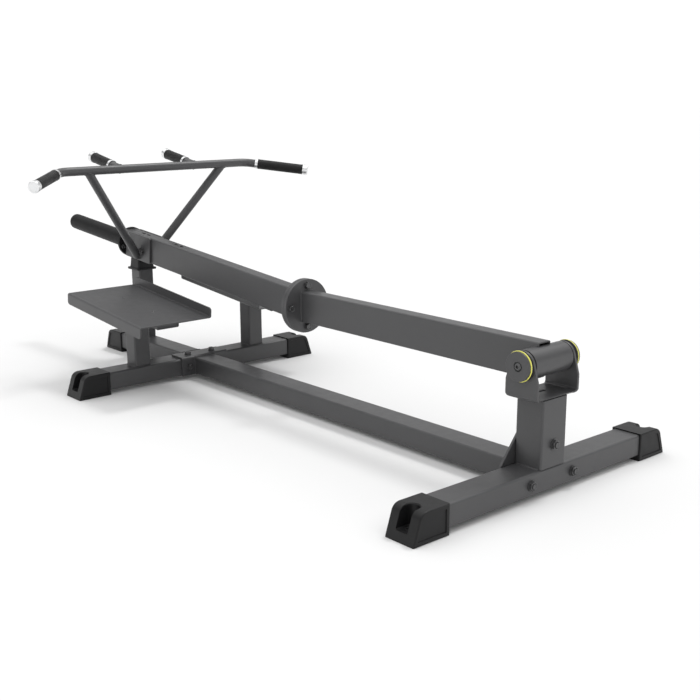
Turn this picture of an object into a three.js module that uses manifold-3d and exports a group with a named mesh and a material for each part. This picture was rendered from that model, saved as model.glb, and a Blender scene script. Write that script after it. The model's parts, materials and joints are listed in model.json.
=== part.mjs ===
// Plate-loaded T-bar row: a low frame on five rubber feet, two foot treads, and a long lever arm
// that hinges at the rear, carries a weight horn and a handle, and rests on a bumper at the front.
// Millimetres, +Z up, +X from the weight horn towards the pivot. The user stands on the treads and faces
// the horn, so +Y is the user's right.

import * as THREE from 'three';
import { mergeVertices } from 'three/addons/utils/BufferGeometryUtils.js';
import Module from 'manifold-3d';

const wasm = await Module();
wasm.setup();
const radians = THREE.MathUtils.degToRad;

// ---------- driving dimensions; X is measured from the rear face of the rear cross beam ----------

const GAP = 0.3;              // clearance between separate pieces
const TUBE_WALL = 3;

// floor beams, all of one flat tube
const BEAM_WIDTH = 70;
const BEAM_HEIGHT = 50;
const BEAM_CORNER = 6;
const BEAM_BOTTOM = 12;
const BEAM_TOP = BEAM_BOTTOM + BEAM_HEIGHT;
const BEAM_MIDDLE = BEAM_BOTTOM + BEAM_HEIGHT / 2;
const REAR_BEAM_X = -BEAM_WIDTH / 2;
const FRONT_BEAM_FACE = -1293;        // rear face of the front cross beam
const FRONT_BEAM_X = FRONT_BEAM_FACE - BEAM_WIDTH / 2;
const HALF_SPAN = 408;                // centre line to the outer end of a foot
const NOSE_END = -1813;               // outer end of the single front foot

// rubber feet
const FOOT_LENGTH = 96;
const FOOT_WALL = 4;
const FOOT_HEIGHT = BEAM_TOP + 3;
const FOOT_SOCKET = 42;
const FOOT_POCKET_RADIUS = 16;        // round end of the pocket, open towards the foot's outer end
const FOOT_POCKET_X = 33;             // from the outer end to the pocket's centre
const FOOT_POCKET_FLOOR = 20;
const FOOT_HALF_WIDTH = BEAM_WIDTH / 2 + FOOT_WALL + GAP;

// bolted joints of the base beam
const BOLT = 12;
const SMALL_BOLT = 10;
const JOINT_PLATE = 6;
const JOINT_HALF_WIDTH = 82;
const JOINT_TOP_HALF_WIDTH = 25;
const REAR_BOLT_Y = 68;
const REAR_TOP_BOLT_Z = 111;
const BRACKET_SHEET = 5;
const BRACKET_HALF_WIDTH = 79;
const BRACKET_DEPTH = 52;
const FRONT_BOLT_X = FRONT_BEAM_X + 12;
const FRONT_BOLT_Y = 41;

// rear post and clevis
const POST_WIDTH = 80;
const POST_WALL = 4;
const POST_TOP = 210;
const CLEVIS_SHEET = 6;
const CLEVIS_HALF_WIDTH = 68;
const CLEVIS_HALF_DEPTH = 42;
const CLEVIS_BEND = 12;
const EAR_SHOULDER = 33;              // how far below the pivot the ears start to narrow
const EAR_RADIUS = 31;
const EAR_TANGENT = radians(16);      // where the narrowing edge runs into the round top

// pivot
const PIVOT_X = REAR_BEAM_X - 1;
const PIVOT_Z = 283;
const PIVOT_TUBE_RADIUS = 31.5;
const PIVOT_TUBE_BORE = 27;
const PIVOT_TUBE_HALF = 59;
const SHAFT_RADIUS = 15;
const SHAFT_BORE = 15.1;
const BEARING_LENGTH = 25;
const RING_RADIUS = 32.5;             // yellow ring between ear and cap, with a narrower foot on the ear
const RING_FOOT_RADIUS = 27;
const RING_FOOT = 5;
const RING_THICKNESS = 4;
const HUB_CAP_RADIUS = 31;
const HUB_CAP_THICKNESS = 5;
const HUB_SCREW = 10;

// lever arm
const ARM_WIDTH = 40;
const ARM_HEIGHT = 80;
const ARM_CORNER = 5;
const ARM_END_X = -35;                // rear edge of the arm's top wall, over the pivot
const ARM_JOINT_X = -814;             // joint between the level rear half and the rising front half
const ARM_FLANGE_RADIUS = 70;
const ARM_FLANGE = 10;
const ARM_BOLT_CIRCLE = 54;
const FRONT_ARM_RISE = radians(5.1);
const FRONT_ARM_LENGTH = 869;
const ARM_SLOTS = [-598, -784];       // pairs of slots in the top wall, from the arm joint
const HORN_RADIUS = 25;               // for plates with a 50 mm bore
const HORN_BORE = 20;
const HORN_LENGTH = 372;
const STOP_RADIUS = 46;
const STOP_THICKNESS = 10;

// rest post
const REST_SIDE = 50;
const REST_X = -1627;
const REST_TOP = 281;
const BUMPER_SIDE = 68;
const BUMPER_LIP = 6;
const BUMPER_FOOT = 57;
const BUMPER_CROWN = 49;

// foot treads; each has its own frame, tilted so that the toe end is higher
const TREAD_LENGTH = 406;
const TREAD_WIDTH = 225;
const TREAD_SHEET = 4;
const TREAD_X = FRONT_BEAM_X;
const TREAD_Y = 193;
const TREAD_Z = 235;
const TREAD_TILT = radians(5.4);
const TREAD_LIP_UP = 24;
const TREAD_LIP_DOWN = 32;
const TREAD_LIP_ROUND = 9;
const TREAD_POST_SIDE = 50;
const TREAD_POST_Y = 199;
const SUPPORT_WIDTH = 70;
const SUPPORT_HEIGHT = 25;
const SUPPORT_LENGTH = 320;

// handle; its frame is tilted so that the neutral grips rise towards the horn
const HANDLE_X = -1504;
const HANDLE_Z = 602;
const HANDLE_TILT = radians(10);
const BAR_RADIUS = 12.5;
const BAR_BORE = 10;
const BAR_CORNER_Y = 317;
const BAR_SWEEP = radians(44);
const BAR_BEND_RADIUS = 60;
const SWEPT_COLLAR = 34;              // from the bend's corner to the collar
const SWEPT_GRIP = 142;
const NEUTRAL_Y = 127;
const NEUTRAL_COLLAR = 46;            // from the bar's axis to the collar
const NEUTRAL_GRIP = 94;
const GRIP_RADIUS = 15.5;
const COLLAR_LENGTH = 9;
const COLLAR_RADIUS = 15.5;
const END_CAP_RADIUS = 16.5;
const END_CAP_LENGTH = 17;

// struts and side plates that carry the handle
const STRUT_RADIUS = 12.5;
const STRUT_TOP_Y = 233;
const STRUT_FOOT = new THREE.Vector3(-1601, 32, 331);
const SIDE_PLATE = 6;
const SIDE_PLATE_FROM = -865;         // along the front arm, from the arm joint
const SIDE_PLATE_TO = -722;
const HANDLE_BOLTS = { front: -838, rear: -762 };
const HANDLE_BOLT_Z = -8;

// ---------- looks ----------

const STEEL = { color: 0x4b4b4d, roughness: 0.5, metalness: 0.35 };
const BRIGHT_BOLT = { color: 0x3a3a3c, roughness: 0.4, metalness: 0.7 };
const RUBBER = { color: 0x1d1d1f, roughness: 0.75, metalness: 0 };
const PLASTIC = { color: 0x2a2a2c, roughness: 0.55, metalness: 0 };
const ALUMINIUM = { color: 0xd9dadb, roughness: 0.3, metalness: 0.9 };
const YELLOW = { color: 0xe0dc3a, roughness: 0.45, metalness: 0 };

// ---------- solids: manifold-3d joins and cuts them ----------

function solid(geometry) {
  const bare = geometry.clone();
  for (const name of ['normal', 'uv']) bare.deleteAttribute(name);
  const merged = mergeVertices(bare, 1e-4);
  return new wasm.Manifold(new wasm.Mesh({
    numProp: 3,
    vertProperties: new Float32Array(merged.attributes.position.array),
    triVerts: new Uint32Array(merged.index.array),
  }));
}

function geometryOf(body) {
  const mesh = body.getMesh();
  const geometry = new THREE.BufferGeometry();
  geometry.setAttribute('position', new THREE.BufferAttribute(mesh.vertProperties, 3));
  geometry.setIndex(new THREE.BufferAttribute(mesh.triVerts, 1));
  return geometry;
}

const cut = (base, ...tools) =>
  geometryOf(tools.reduce((body, tool) => body.subtract(solid(tool)), solid(base)));
const join = (base, ...more) =>
  geometryOf(more.reduce((body, piece) => body.add(solid(piece)), solid(base)));
const common = (a, b) => geometryOf(solid(a).intersect(solid(b)));

function add(parent, name, geometry, look) {
  const mesh = new THREE.Mesh(geometry, new THREE.MeshStandardMaterial(look));
  mesh.name = name;
  parent.add(mesh);
}

// ---------- shapes ----------

function outline(points) {
  return new THREE.Shape(points.map(([x, y]) => new THREE.Vector2(x, y)));
}

function roundedRectangle(path, width, height, radius) {
  const x = width / 2 - radius;
  const y = height / 2 - radius;
  path.moveTo(x, -y - radius);
  path.absarc(x, -y, radius, -Math.PI / 2, 0);
  path.absarc(x, y, radius, 0, Math.PI / 2);
  path.absarc(-x, y, radius, Math.PI / 2, Math.PI);
  path.absarc(-x, -y, radius, Math.PI, Math.PI * 1.5);
  path.closePath();
  return path;
}

function extrude(shape, from, to, curveSegments = 2) {
  return new THREE.ExtrudeGeometry(shape, { depth: to - from, bevelEnabled: false, curveSegments })
    .translate(0, 0, from);
}

// turn a piece drawn in the XY plane and run along +Z: alongX takes x, y, z to Y, Z, X
// and alongY takes them to X, Z, -Y
const alongX = (geometry) => geometry.rotateX(Math.PI / 2).rotateZ(Math.PI / 2);
const alongY = (geometry) => geometry.rotateX(Math.PI / 2);

function box([x0, x1], [y0, y1], [z0, z1]) {
  return new THREE.BoxGeometry(x1 - x0, y1 - y0, z1 - z0)
    .translate((x0 + x1) / 2, (y0 + y1) / 2, (z0 + z1) / 2);
}

function rod(radius, from, to, sides = 24) {
  return new THREE.CylinderGeometry(radius, radius, to - from, sides).rotateX(Math.PI / 2)
    .translate(0, 0, (from + to) / 2);
}

// solid of revolution about Z from [radius, z] corners, from axis to axis or closed on itself
function turned(corners, sides = 32) {
  const profile = corners.map(([r, z]) => new THREE.Vector2(r, z));
  if (corners[0][0] > 0) profile.push(profile[0].clone());
  return new THREE.LatheGeometry(profile, sides).rotateX(Math.PI / 2);
}

const ring = (bore, radius, from, to, sides) =>
  turned([[bore, from], [radius, from], [radius, to], [bore, to]], sides);

// hollow rectangular tube, drawn in XY and run along Z
function tube(width, height, from, to, corner, wall = TUBE_WALL) {
  const section = roundedRectangle(new THREE.Shape(), width, height, corner);
  section.holes.push(roundedRectangle(new THREE.Path(), width - 2 * wall, height - 2 * wall, corner - wall));
  return extrude(section, from, to);
}

const beam = (from, to) => tube(BEAM_WIDTH, BEAM_HEIGHT, from, to, BEAM_CORNER);

// centre line made of straight runs and round bends, with one station at each end and along each bend
class Centreline extends THREE.Curve {
  constructor(stations) {
    super();
    this.stations = stations;
  }

  getPoint(t, target = new THREE.Vector3()) {
    const last = this.stations.length - 1;
    const index = Math.min(Math.floor(t * last), last - 1);
    return target.lerpVectors(this.stations[index], this.stations[index + 1], t * last - index);
  }

  getPointAt(u, target) {
    return this.getPoint(u, target);
  }

  getTangentAt(u, target) {
    return this.getTangent(u, target);
  }

  getTangent(t, target = new THREE.Vector3()) {
    const step = 1e-3;
    const before = this.getPoint(Math.max(t - step, 0));
    return target.subVectors(this.getPoint(Math.min(t + step, 1)), before).normalize();
  }
}

// corners of a polyline, each inner corner rounded to the bend radius
function bent(corners, radius, steps = 5) {
  const stations = [corners[0]];
  for (let i = 1; i < corners.length - 1; i += 1) {
    const inward = corners[i - 1].clone().sub(corners[i]).normalize();
    const outward = corners[i + 1].clone().sub(corners[i]).normalize();
    const half = inward.angleTo(outward) / 2;
    const middle = inward.clone().add(outward).normalize();
    const centre = corners[i].clone().addScaledVector(middle, radius / Math.sin(half));
    const start = corners[i].clone().addScaledVector(inward, radius / Math.tan(half)).sub(centre);
    const axis = start.clone().cross(middle.clone().negate()).normalize();
    const turn = Math.PI - 2 * half;
    for (let k = 0; k <= steps; k += 1) {
      stations.push(start.clone().applyAxisAngle(axis, (turn * k) / steps).add(centre));
    }
  }
  stations.push(corners[corners.length - 1]);
  return new Centreline(stations);
}

function pipe(path, radius, bore, sides = 12) {
  const section = new THREE.Shape();
  section.absarc(0, 0, radius, 0, Math.PI * 2);
  section.holes.push(new THREE.Path().absarc(0, 0, bore, 0, Math.PI * 2));
  return new THREE.ExtrudeGeometry(section, {
    extrudePath: path, steps: path.stations.length - 1, bevelEnabled: false, curveSegments: sides / 2,
  });
}

// carry a piece made along +Z from the origin onto the line that leaves a point in a direction
function aim(geometry, point, direction) {
  const turn = new THREE.Quaternion().setFromUnitVectors(new THREE.Vector3(0, 0, 1), direction);
  return geometry.applyQuaternion(turn).translate(point.x, point.y, point.z);
}

// hexagon bolt about Z: the head stands on z = 0 and the shank runs down through the grip length
function bolt(size, grip, hasNut) {
  const head = rod(size * 0.9, size * 0.15, size * 0.85, 6);
  const washer = rod(size, 0, size * 0.2, 16);
  const shank = rod(size / 2, -grip - (hasNut ? size * 1.2 : 0), size * 0.2, 8);
  if (!hasNut) return join(head, washer, shank);
  const lowerWasher = rod(size, -grip - size * 0.2, -grip, 16);
  const nut = rod(size * 0.9, -grip - size * 0.95, -grip - size * 0.15, 6);
  return join(head, washer, shank, lowerWasher, nut);
}

const boltHole = (size, from, to) => rod(size / 2 + GAP, from, to, 12);

// ---------- assembly ----------

const SIDES = [['left', -1], ['right', 1]];
const machine = new THREE.Group();

// cap that swallows a beam's end at x = 0 and slopes down to the floor at its outer end
function footGeometry() {
  const side = outline([[0, 0], [FOOT_LENGTH, 0], [FOOT_LENGTH, 4], [FOOT_LENGTH - 15, FOOT_HEIGHT - 16]]);
  side.quadraticCurveTo(FOOT_LENGTH - 20, FOOT_HEIGHT, FOOT_LENGTH - 38, FOOT_HEIGHT);
  side.lineTo(0, FOOT_HEIGHT);
  const block = alongY(extrude(side, -FOOT_HALF_WIDTH, FOOT_HALF_WIDTH, 6));
  const opening = [BEAM_WIDTH + 2 * GAP, BEAM_HEIGHT + 2 * GAP];
  const socket = roundedRectangle(new THREE.Shape(), ...opening, BEAM_CORNER);
  const socketTool = alongX(extrude(socket, -10, FOOT_SOCKET)).translate(0, 0, BEAM_MIDDLE);
  const pocket = new THREE.Shape();
  pocket.absarc(FOOT_LENGTH - FOOT_POCKET_X, 0, FOOT_POCKET_RADIUS, Math.PI / 2, Math.PI * 1.5);
  pocket.lineTo(FOOT_LENGTH + 20, -FOOT_POCKET_RADIUS);
  pocket.lineTo(FOOT_LENGTH + 20, FOOT_POCKET_RADIUS);
  const pocketTool = extrude(pocket, FOOT_POCKET_FLOOR, FOOT_HEIGHT + 10, 6);
  const inset = 9;
  const panel = outline([[inset, inset], [FOOT_LENGTH - 11, inset], [FOOT_LENGTH - 24, FOOT_HEIGHT - 20]]);
  panel.quadraticCurveTo(FOOT_LENGTH - 27, FOOT_HEIGHT - inset, FOOT_LENGTH - 40, FOOT_HEIGHT - inset);
  panel.lineTo(inset, FOOT_HEIGHT - inset);
  const depth = 1.2;
  const panels = SIDES.map(([, s]) =>
    alongY(extrude(panel, -4, 4, 4)).translate(0, s * (FOOT_HALF_WIDTH - depth + 4), 0));
  return cut(block, socketTool, pocketTool, ...panels);
}

function addFoot(name, x, y, turn) {
  add(machine, name, footGeometry().rotateZ(turn).translate(x, y, 0), RUBBER);
}

function floorFrame() {
  const beamEnd = FOOT_LENGTH - FOOT_SOCKET + GAP;
  const reach = HALF_SPAN - beamEnd;
  const rearHoles = SIDES.map(([, s]) => alongX(boltHole(BOLT, -60, 60))
    .translate(REAR_BEAM_X, s * REAR_BOLT_Y, BEAM_MIDDLE));
  const frontHoles = SIDES.map(([, s]) => boltHole(SMALL_BOLT, BEAM_MIDDLE, 100)
    .translate(FRONT_BOLT_X, s * FRONT_BOLT_Y, 0));
  const beams = [['rear', REAR_BEAM_X, rearHoles], ['front', FRONT_BEAM_X, frontHoles]];
  for (const [end, x, holes] of beams) {
    const cross = alongY(beam(-reach, reach)).translate(x, 0, BEAM_MIDDLE);
    add(machine, `${end}_cross_beam`, cut(cross, ...holes), STEEL);
    for (const [side, s] of SIDES) {
      addFoot(`${end}_foot_${side}`, x, s * (HALF_SPAN - FOOT_LENGTH), (s * Math.PI) / 2);
    }
  }
  const baseBeam = beam(FRONT_BEAM_FACE + BRACKET_SHEET, -BEAM_WIDTH - JOINT_PLATE);
  add(machine, 'base_beam', alongX(baseBeam).translate(0, 0, BEAM_MIDDLE), STEEL);
  const noseBeam = beam(NOSE_END + beamEnd, FRONT_BEAM_FACE - BEAM_WIDTH);
  add(machine, 'nose_beam', alongX(noseBeam).translate(0, 0, BEAM_MIDDLE), STEEL);
  addFoot('nose_foot', NOSE_END + FOOT_LENGTH, 0, Math.PI);
}

// end plate of the base beam: wide over the cross beam and narrowing to the post, held by three bolts
function rearJoint() {
  const right = [
    [JOINT_HALF_WIDTH, BEAM_BOTTOM],
    [JOINT_HALF_WIDTH, BEAM_TOP],
    [JOINT_TOP_HALF_WIDTH, REAR_TOP_BOLT_Z + 21],
  ];
  const left = right.map(([y, z]) => [-y, z]).reverse();
  const plate = alongX(extrude(outline([...right, ...left]), -BEAM_WIDTH - JOINT_PLATE, -BEAM_WIDTH));
  const places = {
    left: [-REAR_BOLT_Y, BEAM_MIDDLE],
    right: [REAR_BOLT_Y, BEAM_MIDDLE],
    top: [0, REAR_TOP_BOLT_Z],
  };
  const holes = Object.values(places).map(([y, z]) =>
    alongX(boltHole(BOLT, -20, 20)).translate(-BEAM_WIDTH, y, z));
  add(machine, 'rear_joint_plate', cut(plate, ...holes), STEEL);
  for (const [name, [y, z]] of Object.entries(places)) {
    const piece = alongX(bolt(BOLT, BEAM_WIDTH + JOINT_PLATE, true)).translate(0, y, z);
    add(machine, `rear_joint_bolt_${name}`, piece, BRIGHT_BOLT);
  }
}

// bracket at the base beam's front end: down the cross beam's rear face and forward over its top
function frontJoint() {
  const top = [BEAM_TOP, BEAM_TOP + BRACKET_SHEET];
  const across = [-BRACKET_HALF_WIDTH, BRACKET_HALF_WIDTH];
  const upright = box([FRONT_BEAM_FACE, FRONT_BEAM_FACE + BRACKET_SHEET], across, [BEAM_BOTTOM, top[1]]);
  const shelf = box([FRONT_BEAM_FACE - BRACKET_DEPTH, FRONT_BEAM_FACE + 1], across, top);
  const places = SIDES.map(([side, s]) => [side, s * FRONT_BOLT_Y]);
  const holes = places.map(([, y]) => boltHole(SMALL_BOLT, BEAM_MIDDLE, 100).translate(FRONT_BOLT_X, y, 0));
  add(machine, 'front_joint_bracket', cut(join(upright, shelf), ...holes), STEEL);
  for (const [side, y] of places) {
    const piece = bolt(SMALL_BOLT, 22, false).translate(FRONT_BOLT_X, y, top[1]);
    add(machine, `front_joint_bolt_${side}`, piece, BRIGHT_BOLT);
  }
}

// post and the bent clevis on it: a U section trimmed to an ear outline that is round about the pivot
function rearPost() {
  const post = tube(BEAM_WIDTH, POST_WIDTH, BEAM_TOP, POST_TOP, 5, POST_WALL).translate(REAR_BEAM_X, 0, 0);
  const hole = alongX(boltHole(BOLT, -60, 60)).translate(REAR_BEAM_X, 0, REAR_TOP_BOLT_Z);
  add(machine, 'rear_post', cut(post, hole), STEEL);

  const earTop = PIVOT_Z + EAR_RADIUS;
  const height = earTop - POST_TOP + CLEVIS_BEND;
  const section = (inset) => {
    const width = 2 * (CLEVIS_HALF_WIDTH - inset);
    return roundedRectangle(new THREE.Shape(), width, 2 * (height - inset), CLEVIS_BEND - inset);
  };
  const depth = [-CLEVIS_HALF_DEPTH, CLEVIS_HALF_DEPTH];
  const outer = alongX(extrude(section(0), ...depth, 3));
  const inner = alongX(extrude(section(CLEVIS_SHEET), depth[0] - 1, depth[1] + 1, 3));
  const channel = cut(outer, inner).translate(PIVOT_X, 0, POST_TOP + height);
  const ear = new THREE.Shape();
  const base = POST_TOP - PIVOT_Z;
  ear.absarc(CLEVIS_HALF_DEPTH - 8, base + 8, 8, -Math.PI / 2, 0);
  ear.lineTo(CLEVIS_HALF_DEPTH, -EAR_SHOULDER);
  ear.absarc(0, 0, EAR_RADIUS, EAR_TANGENT, Math.PI - EAR_TANGENT);
  ear.lineTo(-CLEVIS_HALF_DEPTH, -EAR_SHOULDER);
  ear.absarc(-CLEVIS_HALF_DEPTH + 8, base + 8, 8, Math.PI, Math.PI * 1.5);
  const earTool = alongY(extrude(ear, -100, 100, 6)).translate(PIVOT_X, 0, PIVOT_Z);
  const bore = alongY(rod(SHAFT_BORE, -100, 100, 32)).translate(PIVOT_X, 0, PIVOT_Z);
  add(machine, 'clevis', cut(common(channel, earTool), bore), STEEL);
}

// fixed pieces of the pivot: shaft, and on each side a yellow ring, a cap and its screw
function pivotHardware() {
  const atPivot = (geometry) => alongY(geometry).translate(PIVOT_X, 0, PIVOT_Z);
  const threadBore = HUB_SCREW / 2 + GAP;
  const tapped = SIDES.map(([, s]) => rod(threadBore, s > 0 ? 40 : -80, s > 0 ? 80 : -40, 16));
  const shaft = cut(rod(SHAFT_RADIUS, -CLEVIS_HALF_WIDTH, CLEVIS_HALF_WIDTH, 32), ...tapped);
  add(machine, 'pivot_shaft', atPivot(shaft), BRIGHT_BOLT);
  for (const [side, s] of SIDES) {
    // drawn outwards from the ear's face, then turned to its side of the machine
    const flip = s > 0 ? Math.PI : 0;
    const place = (geometry) => atPivot(geometry.translate(0, 0, CLEVIS_HALF_WIDTH).rotateX(flip));
    const inner = RING_FOOT + RING_THICKNESS;
    const outer = inner + HUB_CAP_THICKNESS;
    const seat = outer - 3;
    const yellow = turned([[threadBore, 0], [RING_FOOT_RADIUS, 0], [RING_FOOT_RADIUS, RING_FOOT],
      [RING_RADIUS, RING_FOOT], [RING_RADIUS, inner], [threadBore, inner]]);
    add(machine, `pivot_ring_${side}`, place(yellow), YELLOW);
    const cap = turned([[threadBore, inner], [HUB_CAP_RADIUS, inner], [HUB_CAP_RADIUS, outer - 1.5],
      [HUB_CAP_RADIUS - 2, outer], [10, outer], [10, seat], [threadBore, seat]]);
    add(machine, `pivot_cap_${side}`, place(cap), PLASTIC);
    const screw = turned([[0, -25], [HUB_SCREW / 2, -25], [HUB_SCREW / 2, seat], [8.5, seat], [8.5, seat + 2],
      [6.5, seat + 4.5], [0, seat + 4.5]], 20);
    const socket = rod(3.4, seat + 1.5, seat + 10, 6);
    add(machine, `pivot_screw_${side}`, place(cut(screw, socket)), BRIGHT_BOLT);
  }
}

function restPost() {
  const post = tube(REST_SIDE, REST_SIDE, BEAM_TOP, REST_TOP, 5).translate(REST_X, 0, 0);
  add(machine, 'rest_post', post, STEEL);
  const underArm = new THREE.Object3D();
  underArm.position.set(ARM_JOINT_X, 0, PIVOT_Z);
  underArm.rotation.y = FRONT_ARM_RISE;
  underArm.updateMatrix();
  const half = ARM_HEIGHT / 2 + GAP;
  const above = box([-FRONT_ARM_LENGTH, 0], [-60, 60], [-half, 60]).applyMatrix4(underArm.matrix);
  const lip = extrude(roundedRectangle(new THREE.Shape(), BUMPER_SIDE, BUMPER_SIDE, 8), 0, BUMPER_LIP);
  const diagonal = Math.SQRT1_2;
  const block = new THREE.CylinderGeometry(BUMPER_CROWN * diagonal, BUMPER_FOOT * diagonal, 50, 4)
    .rotateX(Math.PI / 2).rotateZ(Math.PI / 4).translate(0, 0, BUMPER_LIP + 24);
  const plugSide = REST_SIDE - 2 * TUBE_WALL - 2 * GAP;
  const plug = extrude(roundedRectangle(new THREE.Shape(), plugSide, plugSide, 2), -20, 1);
  const bumper = join(lip, block, plug).translate(REST_X, 0, REST_TOP);
  add(machine, 'rest_bumper', cut(bumper, above), RUBBER);
}

// tread: one bent sheet with its outer edge turned down and its inner edge turned up; below it a flat
// tube on a post
function treads() {
  const half = TREAD_WIDTH / 2;
  const bend = 6;
  for (const [side, s] of SIDES) {
    const frame = new THREE.Group();
    frame.position.set(TREAD_X, s * TREAD_Y, TREAD_Z);
    frame.rotation.y = TREAD_TILT;
    frame.updateMatrix();
    machine.add(frame);

    const section = new THREE.Shape();
    section.moveTo(half, -TREAD_LIP_DOWN);
    section.absarc(half - bend, -bend, bend, 0, Math.PI / 2);
    section.lineTo(-half + TREAD_SHEET, 0);
    section.lineTo(-half + TREAD_SHEET, TREAD_LIP_UP);
    section.lineTo(-half, TREAD_LIP_UP);
    section.absarc(-half + bend, bend - TREAD_SHEET, bend, Math.PI, Math.PI * 1.5);
    section.lineTo(half - TREAD_SHEET, -TREAD_SHEET);
    section.lineTo(half - TREAD_SHEET, -TREAD_LIP_DOWN);
    const sheet = alongX(extrude(section, -TREAD_LENGTH / 2, TREAD_LENGTH / 2, 3));
    const depth = TREAD_LIP_UP + TREAD_LIP_DOWN;
    const blank = roundedRectangle(new THREE.Shape(), TREAD_LENGTH, depth, TREAD_LIP_ROUND);
    const trim = alongY(extrude(blank, -half - 5, half + 5, 3));
    const tread = common(sheet, trim.translate(0, 0, depth / 2 - TREAD_LIP_DOWN));
    add(frame, `tread_${side}`, tread.rotateZ(s > 0 ? 0 : Math.PI), STEEL);

    const top = -TREAD_SHEET - GAP;
    const reach = SUPPORT_LENGTH / 2;
    const support = alongX(tube(SUPPORT_WIDTH, SUPPORT_HEIGHT, -reach, reach, 4))
      .translate(0, 0, top - SUPPORT_HEIGHT / 2)
      .applyMatrix4(frame.matrix);
    const above = box([-300, 300], [-100, 100], [top - SUPPORT_HEIGHT + 1, 300]).applyMatrix4(frame.matrix);
    const post = tube(TREAD_POST_SIDE, TREAD_POST_SIDE, BEAM_TOP, TREAD_Z + 40, 5)
      .translate(FRONT_BEAM_X, s * TREAD_POST_Y, 0);
    add(machine, `tread_post_${side}`, join(cut(post, above), support), STEEL);
  }
}

// ---------- lever: everything below turns about the pivot ----------

const lever = new THREE.Group();
machine.add(lever);

const frontArm = new THREE.Group();
frontArm.position.set(ARM_JOINT_X, 0, PIVOT_Z);
frontArm.rotation.y = FRONT_ARM_RISE;
frontArm.updateMatrix();
lever.add(frontArm);

function leverHub() {
  const atPivot = (geometry) => alongY(geometry).translate(PIVOT_X, 0, PIVOT_Z);
  const hub = ring(PIVOT_TUBE_BORE, PIVOT_TUBE_RADIUS, -PIVOT_TUBE_HALF, PIVOT_TUBE_HALF, 32);
  add(lever, 'pivot_tube', atPivot(hub), STEEL);
  for (const [side, s] of SIDES) {
    const outside = PIVOT_TUBE_BORE - GAP;
    const face = PIVOT_TUBE_HALF + GAP;
    const start = face - BEARING_LENGTH;
    const collar = PIVOT_TUBE_RADIUS - 2;
    const sleeve = turned([[SHAFT_BORE, start], [outside, start], [outside, face], [collar, face],
      [collar, face + 2], [SHAFT_BORE, face + 2]]);
    add(lever, `pivot_bearing_${side}`, atPivot(sleeve.rotateX(s > 0 ? Math.PI : 0)), PLASTIC);
  }
}

const ARM_BOLTS = { top: 90, right: 0, bottom: 270, left: 180 };

function flangeHoles() {
  return Object.values(ARM_BOLTS).map((angle) => {
    const a = radians(angle);
    return alongX(boltHole(SMALL_BOLT, -40, 40))
      .translate(ARM_JOINT_X, Math.cos(a) * ARM_BOLT_CIRCLE, PIVOT_Z + Math.sin(a) * ARM_BOLT_CIRCLE);
  });
}

function armFlange(from, to) {
  return alongX(rod(ARM_FLANGE_RADIUS, from, to, 36)).translate(ARM_JOINT_X, 0, PIVOT_Z);
}

function rearArm() {
  const blank = alongX(tube(ARM_WIDTH, ARM_HEIGHT, ARM_JOINT_X + ARM_FLANGE - 1, ARM_END_X, ARM_CORNER))
    .translate(0, 0, PIVOT_Z);
  const cope = alongY(rod(PIVOT_TUBE_RADIUS + GAP, -100, 100, 32)).translate(PIVOT_X, 0, PIVOT_Z);
  const underside = box([PIVOT_X - 10, 0], [-50, 50], [PIVOT_Z - 60, PIVOT_Z]);
  const arm = cut(blank, cope, underside);
  const lightening = alongX(rod(16, -40, 40, 16)).translate(ARM_JOINT_X, 0, PIVOT_Z);
  add(lever, 'rear_arm', cut(join(armFlange(0, ARM_FLANGE), arm), lightening, ...flangeHoles()), STEEL);
}

function frontArmPieces() {
  const blank = alongX(tube(ARM_WIDTH, ARM_HEIGHT, -FRONT_ARM_LENGTH, 20, ARM_CORNER));
  const slots = ARM_SLOTS.flatMap((x) => [-14, 14].map((shift) =>
    box([x + shift - 9, x + shift + 9], [-4, 4], [ARM_HEIGHT / 2 - 10, ARM_HEIGHT / 2 + 10])));
  const slotted = cut(blank, ...slots).applyMatrix4(frontArm.matrix);
  const flangeInside = ARM_JOINT_X - ARM_FLANGE + 1;
  const behind = box([flangeInside, ARM_JOINT_X + 60], [-60, 60], [PIVOT_Z - 80, PIVOT_Z + 80]);
  const holeAxis = Object.values(HANDLE_BOLTS).map((x) => alongY(boltHole(SMALL_BOLT, -60, 60))
    .translate(x, 0, HANDLE_BOLT_Z).applyMatrix4(frontArm.matrix));
  const lightening = alongX(rod(16, -40, 40, 16)).translate(ARM_JOINT_X, 0, PIVOT_Z);
  const arm = join(armFlange(-ARM_FLANGE, -GAP), cut(slotted, behind, ...holeAxis));
  add(lever, 'front_arm', cut(arm, lightening, ...flangeHoles()), STEEL);
  for (const [name, angle] of Object.entries(ARM_BOLTS)) {
    const a = radians(angle);
    const piece = alongX(bolt(SMALL_BOLT, 2 * ARM_FLANGE, true).translate(0, 0, ARM_FLANGE))
      .translate(ARM_JOINT_X, Math.cos(a) * ARM_BOLT_CIRCLE, PIVOT_Z + Math.sin(a) * ARM_BOLT_CIRCLE);
    add(lever, `arm_bolt_${name}`, piece, BRIGHT_BOLT);
  }

  // weight horn with its stop flange: a tube closed by a rounded end
  const round = 6;
  const shoulder = HORN_RADIUS - round;
  const nose = [0, 30, 60, 90].map((angle) => {
    const a = radians(angle);
    return [shoulder + round * Math.cos(a), HORN_LENGTH - round + round * Math.sin(a)];
  });
  const horn = turned([[0, HORN_LENGTH - 10], [HORN_BORE, HORN_LENGTH - 10], [HORN_BORE, 0], [STOP_RADIUS, 0],
    [STOP_RADIUS, STOP_THICKNESS], [HORN_RADIUS, STOP_THICKNESS], ...nose, [0, HORN_LENGTH]]);
  add(frontArm, 'weight_horn', alongX(horn.rotateX(Math.PI)).translate(-FRONT_ARM_LENGTH - GAP, 0, 0), STEEL);
}

// ---------- handle ----------

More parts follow.
